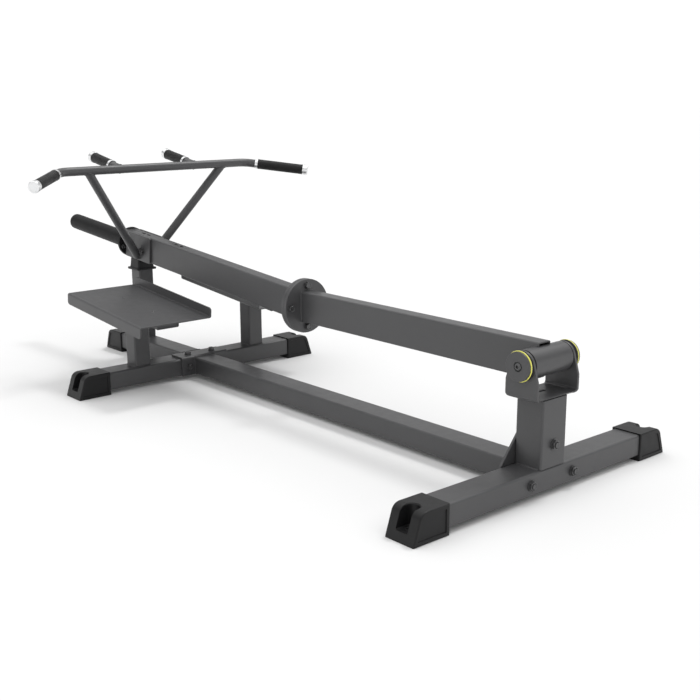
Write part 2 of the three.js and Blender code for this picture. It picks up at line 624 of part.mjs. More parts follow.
const handle = new THREE.Group();
handle.position.set(HANDLE_X, 0, HANDLE_Z);
handle.rotation.y = HANDLE_TILT;
handle.updateMatrix();
lever.add(handle);

// grip, collar and end cap on a tube that leaves a point in a direction
function dressedEnd(name, point, direction, gripLength) {
  const bore = BAR_RADIUS + GAP;
  const gripStart = COLLAR_LENGTH + GAP;
  const capStart = gripStart + gripLength + GAP;
  const place = (geometry) => aim(geometry, point, direction);
  add(handle, `${name}_collar`, place(ring(bore, COLLAR_RADIUS, 0, COLLAR_LENGTH, 16)), ALUMINIUM);
  add(handle, `${name}_grip`, place(ring(bore, GRIP_RADIUS, gripStart, gripStart + gripLength, 16)), RUBBER);
  const plug = BAR_BORE - 2 * GAP;
  const cap = turned([[0, capStart - 15], [plug, capStart - 15], [plug, capStart], [END_CAP_RADIUS, capStart],
    [END_CAP_RADIUS, capStart + END_CAP_LENGTH - 2], [END_CAP_RADIUS - 2, capStart + END_CAP_LENGTH],
    [0, capStart + END_CAP_LENGTH]], 16);
  add(handle, `${name}_cap`, place(cap), ALUMINIUM);
}

function handlePieces() {
  const sweep = (s) => new THREE.Vector3(Math.sin(BAR_SWEEP), s * Math.cos(BAR_SWEEP), 0);
  const corner = (s) => new THREE.Vector3(0, s * BAR_CORNER_Y, 0);
  const sweptLength = SWEPT_COLLAR + COLLAR_LENGTH + SWEPT_GRIP + GAP;
  const end = (s) => corner(s).addScaledVector(sweep(s), sweptLength);
  const path = bent([end(-1), corner(-1), corner(1), end(1)], BAR_BEND_RADIUS);
  add(handle, 'handle_bar', pipe(path, BAR_RADIUS, BAR_BORE), STEEL);
  const forward = new THREE.Vector3(-1, 0, 0);
  for (const [side, s] of SIDES) {
    const sweptStart = corner(s).addScaledVector(sweep(s), SWEPT_COLLAR);
    dressedEnd(`swept_${side}`, sweptStart, sweep(s), SWEPT_GRIP);

    const length = NEUTRAL_COLLAR + COLLAR_LENGTH + NEUTRAL_GRIP + GAP;
    const stub = ring(BAR_BORE, BAR_RADIUS, 0, length, 16);
    const root = new THREE.Vector3(0, s * NEUTRAL_Y, 0);
    const saddle = alongY(rod(BAR_RADIUS + GAP, -200, 200, 24));
    add(handle, `neutral_tube_${side}`, cut(aim(stub, root, forward), saddle), STEEL);
    const neutralStart = root.clone().addScaledVector(forward, NEUTRAL_COLLAR);
    dressedEnd(`neutral_${side}`, neutralStart, forward, NEUTRAL_GRIP);
  }
}

// each strut runs from under the bar to the side plate it is welded to
function struts() {
  for (const [side, s] of SIDES) {
    const top = new THREE.Vector3(HANDLE_X, s * STRUT_TOP_Y, HANDLE_Z);
    const foot = STRUT_FOOT.clone().setY(s * STRUT_FOOT.y);
    const direction = top.clone().sub(foot);
    const length = direction.length();
    direction.normalize();
    const round = aim(ring(STRUT_RADIUS - 2.5, STRUT_RADIUS, -30, length, 20), foot, direction);
    const bar = alongY(rod(BAR_RADIUS + GAP, -280, 280, 24)).translate(HANDLE_X, 0, HANDLE_Z);
    const inner = ARM_WIDTH / 2 + GAP;
    const outer = inner + SIDE_PLATE;
    const faces = s < 0 ? [inner, outer] : [-outer, -inner];
    const inside = s > 0 ? [-60, outer - 1] : [-outer + 1, 60];
    const armSide = box([-FRONT_ARM_LENGTH - 60, -500], inside, [-120, 120]).applyMatrix4(frontArm.matrix);
    const shape = roundedRectangle(new THREE.Shape(), SIDE_PLATE_TO - SIDE_PLATE_FROM, ARM_HEIGHT, 6);
    const plate = alongY(extrude(shape, ...faces)).translate((SIDE_PLATE_FROM + SIDE_PLATE_TO) / 2, 0, 0);
    const holes = Object.values(HANDLE_BOLTS).map((x) =>
      alongY(boltHole(SMALL_BOLT, -60, 60)).translate(x, 0, HANDLE_BOLT_Z));
    const below = box([-1000, 0], [-60, 60], [-200, -ARM_HEIGHT / 2 + 4]).applyMatrix4(frontArm.matrix);
    const clevisPlate = cut(plate, ...holes).applyMatrix4(frontArm.matrix);
    add(lever, `handle_strut_${side}`, join(clevisPlate, cut(round, bar, armSide, below)), STEEL);
  }
  const grip = ARM_WIDTH + 2 * (SIDE_PLATE + GAP);
  for (const [name, x] of Object.entries(HANDLE_BOLTS)) {
    const piece = alongY(bolt(SMALL_BOLT, grip, true).translate(0, 0, grip / 2));
    add(frontArm, `handle_bolt_${name}`, piece.translate(x, 0, HANDLE_BOLT_Z), BRIGHT_BOLT);
  }
}

floorFrame();
rearJoint();
frontJoint();
rearPost();
pivotHardware();
restPost();
treads();
leverHub();
rearArm();
frontArmPieces();
handlePieces();
struts();

const extent = new THREE.Box3().setFromObject(machine, true);
machine.position.x = -Math.round((extent.min.x + extent.max.x) / 2);

export default machine;
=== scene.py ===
"""Looks of a plate-loaded T-bar row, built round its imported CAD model.

Shapes are written in millimetres, with x measured from the rear face of the frame, and become metres
when a piece is made. Every size and place is the CAD model's.
"""

import json
import math
import random

import bmesh
import bpy
from mathutils import Matrix, Vector


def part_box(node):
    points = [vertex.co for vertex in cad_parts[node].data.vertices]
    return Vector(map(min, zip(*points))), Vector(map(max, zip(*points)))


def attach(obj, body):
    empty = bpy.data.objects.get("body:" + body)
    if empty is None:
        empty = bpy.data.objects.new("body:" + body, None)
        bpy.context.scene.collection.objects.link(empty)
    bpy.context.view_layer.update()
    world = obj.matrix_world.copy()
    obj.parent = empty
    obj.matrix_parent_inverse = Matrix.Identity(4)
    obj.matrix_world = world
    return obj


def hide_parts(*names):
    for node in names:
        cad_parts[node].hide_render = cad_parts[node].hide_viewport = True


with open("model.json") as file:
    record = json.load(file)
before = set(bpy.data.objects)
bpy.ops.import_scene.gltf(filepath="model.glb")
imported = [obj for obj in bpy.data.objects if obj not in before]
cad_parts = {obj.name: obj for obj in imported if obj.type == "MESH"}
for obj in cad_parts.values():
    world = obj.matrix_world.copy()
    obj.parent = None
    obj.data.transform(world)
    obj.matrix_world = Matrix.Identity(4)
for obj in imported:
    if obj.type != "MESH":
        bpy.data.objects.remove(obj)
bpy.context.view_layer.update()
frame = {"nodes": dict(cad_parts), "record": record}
random.seed(7)

MM = 0.001
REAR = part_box("rear_cross_beam")[1].x / MM
PIVOT = Vector(frame["record"]["behaviour"]["joints"][0]["pos_m"]) / MM - Vector((REAR, 0, 0))
SIDES = (("left", -1), ("right", 1))

# sizes that several pieces share, in millimetres and degrees
GAP = 0.3                       # between separate pieces
WALL = 3                        # of the beams, the arms and the 50 mm posts
BEAM_WIDTH, BEAM_HEIGHT, BEAM_CORNER = 70, 50, 6
BEAM_MIDDLE = 37
POST, POST_CORNER = 50, 5       # square posts under the rest and the treads
REAR_POST_WALL = 4
ARM_WIDTH, ARM_HEIGHT, ARM_CORNER = 40, 80, 5
ARM_JOINT_X = -814              # where the level rear arm meets the rising front arm
ARM_RISE = 5.1
FLANGE_RADIUS, FLANGE = 70, 10
BAR_RADIUS = 12.5               # handle bar, neutral tubes and struts
WELD_STEP, WELD_PITCH = 1.3, 4.0        # between rings of points; between ripples
QUARTER = [math.pi / 2 * k / 8 for k in range(9)]


def box(node):
    """Lowest and highest corner of a CAD node, in this script's millimetres."""
    low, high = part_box(node)
    shift = Vector((REAR, 0, 0))
    return low / MM - shift, high / MM - shift


# ---------- frames ----------

ALONG = {
    "x": Matrix(((0, 0, 1), (1, 0, 0), (0, 1, 0))).to_4x4(),
    "y": Matrix(((1, 0, 0), (0, 0, -1), (0, 1, 0))).to_4x4(),
    "z": Matrix.Identity(4),
}


def at(point, axis="z", tilt=0.0):
    """Frame at a point whose z runs along the axis, after a tilt in degrees about y."""
    return Matrix.Translation(point) @ Matrix.Rotation(math.radians(tilt), 4, "Y") @ ALONG[axis]


def aimed(point, direction):
    """Frame at a point whose z runs in a direction."""
    turn = Vector(direction).to_track_quat("Z", "Y").to_matrix().to_4x4()
    return Matrix.Translation(point) @ turn


# ---------- mesh parts: a part is a list of points and a list of faces ----------

def shell(rings, loop=False):
    """Skin over rings of points; the ends are closed, or the last ring joins the first."""
    count = len(rings[0])
    points = [Vector(p) for ring in rings for p in ring]
    faces = []
    for i in range(len(rings) - (0 if loop else 1)):
        a, b = i * count, (i + 1) % len(rings) * count
        for k in range(count):
            n = (k + 1) % count
            faces.append((a + k, a + n, b + n, b + k))
    if not loop:
        faces.append(tuple(reversed(range(count))))
        faces.append(tuple(range(len(points) - count, len(points))))
    return points, faces


def moved(part, matrix):
    points, faces = part
    return [matrix @ Vector(p) for p in points], faces


def rounded(width, height, radius, steps=6):
    """Points round a rectangle with rounded corners."""
    points = []
    for quarter in range(4):
        x = (width / 2 - radius) * (1 if quarter in (0, 3) else -1)
        y = (height / 2 - radius) * (1 if quarter in (0, 1) else -1)
        for i in range(steps + 1):
            angle = math.pi / 2 * (quarter + i / steps)
            points.append((x + radius * math.cos(angle), y + radius * math.sin(angle)))
    return points


def circle(radius, count=48):
    return [(radius * math.cos(2 * math.pi * i / count), radius * math.sin(2 * math.pi * i / count))
            for i in range(count)]


def hexagon(radius, limit):
    """Points round a hexagon whose corners are cut back to a circle."""
    points = []
    for i in range(72):
        angle = 2 * math.pi * i / 72
        flat = radius * math.cos(math.pi / 6) / math.cos(angle % (math.pi / 3) - math.pi / 6)
        reach = min(flat, limit)
        points.append((reach * math.cos(angle), reach * math.sin(angle)))
    return points


def soften(points, radius, steps=3, closed=False):
    """A line of points with its corners rounded."""
    result = []
    for i, point in enumerate(points):
        p = Vector(point)
        if not closed and i in (0, len(points) - 1):
            result.append(p)
            continue
        a = Vector(points[i - 1]) - p
        b = Vector(points[(i + 1) % len(points)]) - p
        reach = min(radius, a.length * 0.48, b.length * 0.48)
        start, end = p + a.normalized() * reach, p + b.normalized() * reach
        for k in range(steps + 1):
            t = k / steps
            result.append((1 - t) ** 2 * start + 2 * t * (1 - t) * p + t * t * end)
    return result


def inset(points, distance):
    """An outline, counterclockwise, moved inwards."""
    result = []
    for i, point in enumerate(points):
        p = Vector(point)
        before = p - Vector(points[i - 1])
        after = Vector(points[(i + 1) % len(points)]) - p
        a = Vector((-before.y, before.x)).normalized()
        b = Vector((-after.y, after.x)).normalized()
        out = (a + b).normalized()
        result.append(p + out * distance / max(out.dot(a), 0.4))
    return result


def prism(points, start, end, edge=0.8, steps=3):
    """Solid with one outline from start to end along z and rounded rims."""
    rim = []
    for i in range(steps + 1):
        angle = math.pi / 2 * i / steps
        rim.append((edge * (1 - math.sin(angle)), edge * (1 - math.cos(angle))))
    levels = [(d, start + z) for d, z in rim] + [(d, end - z) for d, z in reversed(rim)]
    return shell([[(*p, z) for p in inset(points, d)] for d, z in levels])


def tube(width, height, radius, wall, start, end):
    """Hollow rectangular tube along z."""
    edge = 0.5
    levels = [(edge, start), (0, start + edge), (0, end - edge), (edge, end), (wall, end), (wall, start)]
    return shell([[(x, y, z) for x, y in rounded(width - 2 * d, height - 2 * d, max(radius - d, 0.4))]
                  for d, z in levels], loop=True)


def lathe(profile, count=64, loop=False):
    """Solid of revolution about z from (radius, z) corners."""
    return shell([[(x, y, z) for x, y in circle(max(r, 1e-6), count)] for r, z in profile], loop)


def turned(corners, edge, count=96, steps=3, loop=True):
    """Solid of revolution about z with its corners rounded; a loop of corners makes a ring."""
    return lathe(soften(corners, edge, steps, closed=loop), count, loop)


def socket_screw(corners, edge, socket, levels, floor):
    """Domed screw about z, with a hexagon socket between two levels and a floor to it."""
    rings = [[(x, y, p.y) for x, y in circle(max(p.x, 1e-6), 72)] for p in soften(corners, edge)]
    rings += [[(x, y, z) for x, y in hexagon(socket, socket)] for z in levels]
    rings.append([(x, y, floor) for x, y in circle(1e-6, 72)])
    return shell(rings)


def pipe(path):
    """Round bar along a path of points."""
    rings = []
    normal = None
    for i, point in enumerate(path):
        tangent = (path[min(i + 1, len(path) - 1)] - path[max(i - 1, 0)]).normalized()
        if normal is None:
            normal = tangent.orthogonal().normalized()
        normal = (normal - tangent * normal.dot(tangent)).normalized()
        other = tangent.cross(normal)
        rings.append([point + normal * x + other * y for x, y in circle(BAR_RADIUS, 40)])
    return shell(rings)


def weld(path, radius=2.0, closed=True):
    """Rippled bead along a line of points."""
    line = [Vector(p) for p in path]
    if closed:
        line.append(line[0])
    stations = []
    for a, b in zip(line, line[1:]):
        count = max(1, round((b - a).length / WELD_STEP))
        stations += [a.lerp(b, k / count) for k in range(count)]
    if not closed:
        stations.append(line[-1])
    rings = []
    run = 0.0
    total = len(stations)
    for i, point in enumerate(stations):
        ahead = stations[(i + 1) % total] if closed else stations[min(i + 1, total - 1)]
        behind = stations[i - 1] if closed or i else point
        tangent = (ahead - behind).normalized()
        side = tangent.cross(Vector((0.31, 0.53, 0.79))).normalized()
        up = tangent.cross(side)
        ripple = 0.13 * math.sin(run * 2 * math.pi / WELD_PITCH)
        swell = radius * (1 + ripple + random.uniform(-0.04, 0.04))
        rings.append([point + side * x * swell + up * y * swell for x, y in circle(1, 10)])
        run += (ahead - point).length
    return shell(rings, closed)


def bent_sheet(stations, edge=0.7):
    """Bent plate: a station has a point on either face, in (y, z), and the half length there along x."""
    rings = []
    for (a, half_a), (b, half_b) in stations:
        a, b = Vector(a), Vector(b)
        step = (b - a).normalized() * edge
        half_a, half_b = max(half_a, edge + 0.01), max(half_b, edge + 0.01)
        right = [(half_a - edge, a), (half_a, a + step), (half_b, b - step), (half_b - edge, b)]
        left = [(-x, p) for x, p in reversed(right)]
        rings.append([(x, p.x, p.y) for x, p in right + left])
    return shell(rings)


# ---------- pieces ----------

LOOKS = {}
SHARP = math.radians(32)        # edges that turn further than this stay sharp


def mesh_of(parts, name, place=Matrix.Identity(4)):
    """One mesh, in metres, of several parts, each with its faces turned outwards."""
    whole = bmesh.new()
    for points, faces in parts:
        part = bmesh.new()
        verts = [part.verts.new((place @ p) * MM) for p in points]
        for face in faces:
            part.faces.new([verts[i] for i in face])
        bmesh.ops.remove_doubles(part, verts=part.verts, dist=2e-6)
        bmesh.ops.recalc_face_normals(part, faces=part.faces)
        mesh = bpy.data.meshes.new("part")
        part.to_mesh(mesh)
        part.free()
        whole.from_mesh(mesh)
        bpy.data.meshes.remove(mesh)
    mesh = bpy.data.meshes.new(name)
    whole.to_mesh(mesh)
    whole.free()
    return mesh


def cut(obj, cutters):
    """Takes the cutters, which are parts, away from the object's mesh."""
    tool = bpy.data.objects.new("tool", mesh_of(cutters, "tool"))
    bpy.context.scene.collection.objects.link(tool)
    modifier = obj.modifiers.new("cut", "BOOLEAN")
    modifier.object = tool
    modifier.solver = "EXACT"
    modifier.use_self = len(cutters) > 1
    bpy.context.view_layer.update()
    graph = bpy.context.evaluated_depsgraph_get()
    mesh = bpy.data.meshes.new_from_object(obj.evaluated_get(graph))
    obj.modifiers.remove(modifier)
    obj.data = mesh
    bpy.data.objects.remove(tool)


def make(name, parts, look, body="frame", nodes=(), place=Matrix.Identity(4), cutters=(),
         own_frame=False):
    """One piece of the visual model, in place and riding on its body.

    Its points are moved into place, unless the material or the shape needs the piece's own frame.
    """
    baked = Matrix.Identity(4) if own_frame else place
    obj = bpy.data.objects.new(name, mesh_of(parts, name, baked))
    bpy.context.scene.collection.objects.link(obj)
    cutters = [moved(part, baked) for part in cutters]
    if cutters:
        cut(obj, cutters)
    mesh = obj.data
    mesh.name = name
    for polygon in mesh.polygons:
        polygon.use_smooth = True
    mesh.set_sharp_from_angle(angle=SHARP)
    mesh.materials.clear()
    mesh.materials.append(LOOKS[look])
    matrix = place.copy() if own_frame else Matrix.Identity(4)
    matrix.translation = (matrix.translation + Vector((REAR, 0, 0))) * MM
    obj.matrix_world = matrix
    weighted = obj.modifiers.new("flat_faces_stay_flat", "WEIGHTED_NORMAL")
    weighted.keep_sharp = True
    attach(obj, body)
    if nodes:
        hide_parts(*nodes)
    return obj


# ---------- materials ----------

DRIFT_SCALE, BLOTCH_SCALE, KNURL_TURNS = 7.0, 45.0, 24.0


def material(name, colour, roughness, metallic=0.0, mottle=0.12, grain=900.0, bump=0.12, depth=0.0002,
             roughness_spread=0.08, knurl=0.0, specular=0.5):
    """A finish with a broad drift and a fine speckle of colour, uneven gloss, and relief or a knurl."""
    made = bpy.data.materials.new(name)
    made.use_nodes = True
    nodes, links = made.node_tree.nodes, made.node_tree.links
    shader = nodes["Principled BSDF"]
    shader.inputs["Metallic"].default_value = metallic
    shader.inputs["Specular IOR Level"].default_value = specular
    place = nodes.new("ShaderNodeTexCoord").outputs["Object"]

    def noise(scale, detail):
        node = nodes.new("ShaderNodeTexNoise")
        node.inputs["Scale"].default_value = scale
        node.inputs["Detail"].default_value = detail
        links.new(place, node.inputs["Vector"])
        return node.outputs["Fac"]

    def ranged(source, low, high):
        node = nodes.new("ShaderNodeMapRange")
        node.inputs["From Min"].default_value = 0.3
        node.inputs["From Max"].default_value = 0.7
        node.inputs["To Min"].default_value = low
        node.inputs["To Max"].default_value = high
        links.new(source, node.inputs["Value"])
        return node.outputs["Result"]

    def maths(operation, first, second):
        node = nodes.new("ShaderNodeMath")
        node.operation = operation
        for socket, value in zip(node.inputs, (first, second)):
            if isinstance(value, (int, float)):
                socket.default_value = value
            else:
                links.new(value, socket)
        return node.outputs[0]

    drift = ranged(noise(DRIFT_SCALE, 4), 1 - mottle, 1 + mottle)
    speckle = ranged(noise(grain * 0.6, 1), 1 - mottle * 0.6, 1 + mottle * 0.6)
    tint = nodes.new("ShaderNodeVectorMath")
    tint.operation = "SCALE"
    tint.inputs[0].default_value = colour
    links.new(maths("MULTIPLY", drift, speckle), tint.inputs["Scale"])
    links.new(tint.outputs["Vector"], shader.inputs["Base Color"])

    blotch = ranged(noise(BLOTCH_SCALE, 3), roughness - roughness_spread, roughness + roughness_spread)
    links.new(blotch, shader.inputs["Roughness"])

    height = noise(grain, 2)
    if knurl:
        split = nodes.new("ShaderNodeSeparateXYZ")
        links.new(place, split.inputs[0])
        angle = maths("ARCTAN2", split.outputs["Y"], split.outputs["X"])
        turn = maths("MULTIPLY", angle, KNURL_TURNS)
        run = maths("MULTIPLY", split.outputs["Z"], knurl)
        ridges = maths("MULTIPLY", maths("SINE", maths("ADD", turn, run), 0.0),
                       maths("SINE", maths("SUBTRACT", turn, run), 0.0))
        height = maths("ADD", maths("MULTIPLY", ridges, 0.5), maths("MULTIPLY", height, 0.35))
    relief = nodes.new("ShaderNodeBump")
    relief.inputs["Strength"].default_value = bump
    relief.inputs["Distance"].default_value = depth
    links.new(height, relief.inputs["Height"])
    links.new(relief.outputs["Normal"], shader.inputs["Normal"])
    LOOKS[name] = made


material("steel", (0.058, 0.058, 0.060), 0.38, mottle=0.04, grain=900, bump=0.35, depth=0.00014,
         roughness_spread=0.03)
material("horn", (0.012, 0.012, 0.0125), 0.5, mottle=0.05, grain=1100, bump=0.25, depth=0.0001,
         roughness_spread=0.04, specular=0.12)
material("fixing", (0.10, 0.10, 0.102), 0.32, metallic=0.7, mottle=0.06, grain=1500, bump=0.15,
         depth=0.0001)
material("foot", (0.009, 0.009, 0.0095), 0.42, mottle=0.1, grain=800, bump=0.35, depth=0.00014,
         roughness_spread=0.04, specular=0.26)
material("grip", (0.005, 0.005, 0.0053), 0.5, mottle=0.12, grain=1200, bump=0.8, depth=0.0005,
         knurl=1500.0, specular=0.3)
material("aluminium", (0.82, 0.825, 0.83), 0.3, metallic=1.0, mottle=0.02, grain=900, bump=0.1,
         depth=0.00006, roughness_spread=0.05)
material("plastic", (0.014, 0.014, 0.015), 0.42, mottle=0.08, grain=1300, bump=0.3, depth=0.0001)
material("cap", (0.058, 0.058, 0.060), 0.45, mottle=0.04, grain=1300, bump=0.3, depth=0.0001)
material("accent", (0.90, 0.87, 0.16), 0.34, mottle=0.03, grain=1200, bump=0.12, depth=0.0001)


# ---------- floor frame ----------

for node, axis in (("rear_cross_beam", "y"), ("front_cross_beam", "y"), ("base_beam", "x"),
                   ("nose_beam", "x")):
    low, high = box(node)
    size = high - low
    half = (size.y if axis == "y" else size.x) / 2
    across = size.x if axis == "y" else size.y
    make(f"finished_{node}", [tube(across, size.z, BEAM_CORNER, WALL, -half, half)], "steel",
         nodes=[node], place=at((low + high) / 2, axis))

FOOT_LENGTH, FOOT_HEIGHT, FOOT_HALF = 96, 65, 39.3
SOCKET, SOCKET_CORNER = 42, 6   # how far the beam goes in
POCKET_RADIUS, POCKET_X, POCKET_FLOOR = 16, 63, 20
PANEL_SUNK = 1.9                # into each side of a foot


def curve_point(t, start, control, end):
    """Point on a curve from start to end that bends towards a control point."""
    return (1 - t) ** 2 * Vector(start) + 2 * t * (1 - t) * Vector(control) + t * t * Vector(end)


def foot_parts():
    """Block of a rubber foot, which points along +x from its inner end, and what is cut out of it."""
    shoulder = (81, 49), (76, FOOT_HEIGHT), (58, FOOT_HEIGHT)
    side = [Vector((0, 0)), Vector((FOOT_LENGTH, 0)), Vector((FOOT_LENGTH, 4)), Vector(shoulder[0])]
    side += [curve_point(k / 12, *shoulder) for k in range(1, 13)]
    side.append(Vector((0, FOOT_HEIGHT)))
    block = moved(prism(side, -FOOT_HALF, FOOT_HALF, 3.0, 4), ALONG["y"])

    beam = rounded(BEAM_WIDTH + 2 * GAP, BEAM_HEIGHT + 2 * GAP, SOCKET_CORNER)
    socket = moved(prism(beam, -20, SOCKET, 0.3, 1), at((0, 0, BEAM_MIDDLE), "x"))

    pocket = [(130, -POCKET_RADIUS), (130, POCKET_RADIUS)]
    for k in range(21):
        a = math.pi * k / 20
        pocket.append((POCKET_X - POCKET_RADIUS * math.sin(a), POCKET_RADIUS * math.cos(a)))
    levels = [(2.0, POCKET_FLOOR), (0, POCKET_FLOOR + 2), (0, FOOT_HEIGHT - 2.2),
              (-2.5, FOOT_HEIGHT + 0.6)]
    cutters = [socket, shell([[(*p, z) for p in inset(pocket, d)] for d, z in levels])]

    crown = (72, 45), (69, 56), (56, 56)
    panel = [Vector((9, 9)), Vector((85, 9)), Vector(crown[0])]
    panel += [curve_point(k / 8, *crown) for k in range(1, 9)]
    panel.append(Vector((9, 56)))
    levels = [(0.5, FOOT_HALF - PANEL_SUNK), (0.0, FOOT_HALF - 0.3), (-0.7, FOOT_HALF + 1)]
    for s in (-1, 1):
        recess = shell([[(*p, z * s) for p in inset(panel, d)] for d, z in levels])
        cutters.append(moved(recess, ALONG["y"]))
    return block, cutters


foot_block, foot_cutters = foot_parts()
anchor_ring = [(5.5, -3), (10, -3), (10, 1.2), (9, 1.8), (6.5, 1.8), (5.5, 1.0)]
anchor = moved(lathe(anchor_ring, 40, loop=True), at((70, 0, POCKET_FLOOR)))
foot_mesh = None
for node, turn in (("rear_foot_left", -90), ("rear_foot_right", 90), ("front_foot_left", -90),
                   ("front_foot_right", 90), ("nose_foot", 180)):
    low, high = box(node)
    outwards = Vector((math.cos(math.radians(turn)), math.sin(math.radians(turn)), 0))
    inner = (low + high) / 2 - outwards * FOOT_LENGTH / 2
    inner.z = 0
    place = Matrix.Translation(inner) @ Matrix.Rotation(math.radians(turn), 4, "Z")
    foot = make(f"finished_{node}", [foot_block], "foot", nodes=[node], place=place, own_frame=True,
                cutters=foot_cutters if foot_mesh is None else ())
    foot_mesh = foot_mesh or foot.data
    foot.data = foot_mesh
    make(f"{node}_anchor_ring", [anchor], "foot", place=place)

# joint plate behind the base beam, its bolts, and the bracket at the other end
low, high = box("rear_joint_plate")
BEAM_LOW, BEAM_TOP, PLATE_TOP = low.z, box("base_beam")[1].z, high.z
half, crown = high.y, 25
corners = [(-half, BEAM_LOW), (half, BEAM_LOW), (half, BEAM_TOP), (crown, PLATE_TOP),
           (-crown, PLATE_TOP), (-half, BEAM_TOP)]
plate = prism(soften(corners, 4, 4, closed=True), low.x, high.x, 0.9)
make("finished_rear_joint_plate", [moved(plate, ALONG["x"])], "steel", nodes=["rear_joint_plate"])

HEAD = 0.85                     # height of a bolt's head above its seat, over the bolt's size


def bolt(size, grip, has_nut, stud=False):
    """Hexagon bolt about z whose washer stands on z = 0; the shank runs down through the grip.

    With a stud, the near end is a nut too, and the end of the thread shows in it. Each corner is
    a radius, or the limit of the hexagon's corners, and a height, over the bolt's size.
    """
    def scaled(corners):
        return [(radius * size, z * size) for radius, z in corners]

    def stacked(levels):
        rings = []
        for limit, z in scaled(levels):
            rings.append([(x, y, z) for x, y in hexagon(0.9 * size, limit)])
        return shell(rings)

    def washer(flip):
        corners = soften([(0, 0), (1.0, 0), (1.0, 0.2), (0, 0.2)], 0.05, 2)
        return lathe(scaled([(p.x, flip * p.y) for p in corners]), 48)

    if stud:
        near = stacked([(0.86, 0.2), (0.92, 0.23), (0.92, 0.55), (0.86, 0.64), (0.76, 0.68),
                        (0.64, 0.68), (0.6, 0.52)])
        end = [(0, 0.3), (0.5, 0.3), (0.5, 0.8), (0.45, HEAD), (0.36, HEAD), (0.3, 0.8), (0, 0.78)]
        parts = [washer(1), near, lathe(scaled(end), 40)]
    else:
        head = stacked([(0.86, 0.2), (0.92, 0.23), (0.92, 0.66), (0.86, 0.79), (0.74, HEAD),
                        (0.62, HEAD), (0.54, 0.74)])
        parts = [washer(1), head]
    if has_nut:
        nut = stacked([(0.86, -0.15), (0.92, -0.2), (0.92, -0.68), (0.84, -0.78)])
        collar = lathe(scaled([(0.72, -0.7), (0.72, -0.86), (0.6, -0.95), (0.4, -0.95)]), 40)
        first, last, ridges = -0.6, -1.2, 6
        step = (last + 0.06 - first) / ridges
        thread = [(0.0, first)]
        for i in range(ridges):
            z = first + step * i
            thread += [(0.5, z + step * 0.25), (0.45, z + step * 0.75)]
        thread += [(0.44, last + 0.05), (0.38, last), (0.0, last)]
        for part in (washer(-1), nut, collar, lathe(scaled(thread), 40)):
            parts.append(moved(part, Matrix.Translation((0, 0, -grip))))
    return parts


BOLTS = [("rear_joint_bolt_left", "x", 12, 76, True), ("rear_joint_bolt_right", "x", 12, 76, True),
         ("rear_joint_bolt_top", "x", 12, 76, True), ("front_joint_bolt_left", "z", 10, 22, False),
         ("front_joint_bolt_right", "z", 10, 22, False), ("arm_bolt_top", "x", 10, 20, True),
         ("arm_bolt_right", "x", 10, 20, True), ("arm_bolt_bottom", "x", 10, 20, True),
         ("arm_bolt_left", "x", 10, 20, True), ("handle_bolt_front", "y", 10, 52.6, True),
         ("handle_bolt_rear", "y", 10, 52.6, True)]
for node, axis, size, grip, has_nut in BOLTS:
    low, high = box(node)
    seat = (low + high) / 2
    if axis == "y":
        seat.y = low.y + HEAD * size
    else:
        seat["xyz".index(axis)] = high["xyz".index(axis)] - HEAD * size
    body = "frame" if "joint" in node else "lever"
    turn = Matrix.Rotation(random.uniform(0, math.pi / 3), 4, "Z")
    parts = bolt(size, grip, has_nut, stud=node.startswith("rear_joint"))
    make(f"finished_{node}", parts, "fixing", body, [node], at(seat, axis) @ turn)

low, high = box("front_joint_bracket")
BRACKET_SHEET, BRACKET_ROUND = 5, 6
profile = [Vector(p) for p in ((low.x, BEAM_TOP), (high.x - BRACKET_SHEET, BEAM_TOP),
                               (high.x - BRACKET_SHEET, BEAM_LOW), (high.x, BEAM_LOW))]
for k in range(7):
    a = math.pi / 2 * k / 6
    profile.append(Vector((high.x, high.z)) + BRACKET_ROUND * Vector((math.cos(a) - 1, math.sin(a) - 1)))
profile.append(Vector((low.x, high.z)))
make("finished_front_joint_bracket", [moved(prism(profile, low.y, high.y, 0.9), ALONG["y"])], "steel",
     nodes=["front_joint_bracket"])
for side, s in SIDES:
    seat = Vector((high.x, s * 55, BEAM_MIDDLE))
    make(f"bracket_bolt_{side}", bolt(9, 5, False), "fixing", place=at(seat, "x"))

# ---------- rear post, clevis and pivot ----------

low, high = box("rear_post")
REAR_POST = high.y - low.y
column = tube(high.x - low.x, REAR_POST, POST_CORNER, REAR_POST_WALL, low.z, high.z)
make("finished_rear_post", [column], "steel", nodes=["rear_post"],
     place=at(((low.x + high.x) / 2, 0, 0)))

EAR_RADIUS, EAR_DEPTH, EAR_CORNER = 31, 42, 8
EAR_SHOULDER = -33              # below the pivot, where an ear starts to narrow
EAR_TANGENT = math.radians(16)  # where the narrowing edge runs into the round top
CLEVIS_SHEET, CLEVIS_BEND = 6, 12
low, high = box("clevis")
CLEVIS_HALF, CLEVIS_FLOOR = high.y, low.z


def ear_half(z):
    """Half the clevis's depth along x at a height."""
    rise = z - PIVOT.z
    arc_end = EAR_RADIUS * math.sin(EAR_TANGENT)
    if rise > arc_end:
        return math.sqrt(max(EAR_RADIUS ** 2 - rise ** 2, 0))
    if rise > EAR_SHOULDER:
        top = EAR_RADIUS * math.cos(EAR_TANGENT)
        return top + (EAR_DEPTH - top) * (arc_end - rise) / (arc_end - EAR_SHOULDER)
    drop = CLEVIS_FLOOR + EAR_CORNER - z
    if drop < 0:
        return EAR_DEPTH
    return EAR_DEPTH - EAR_CORNER + math.sqrt(max(EAR_CORNER ** 2 - drop ** 2, 0))


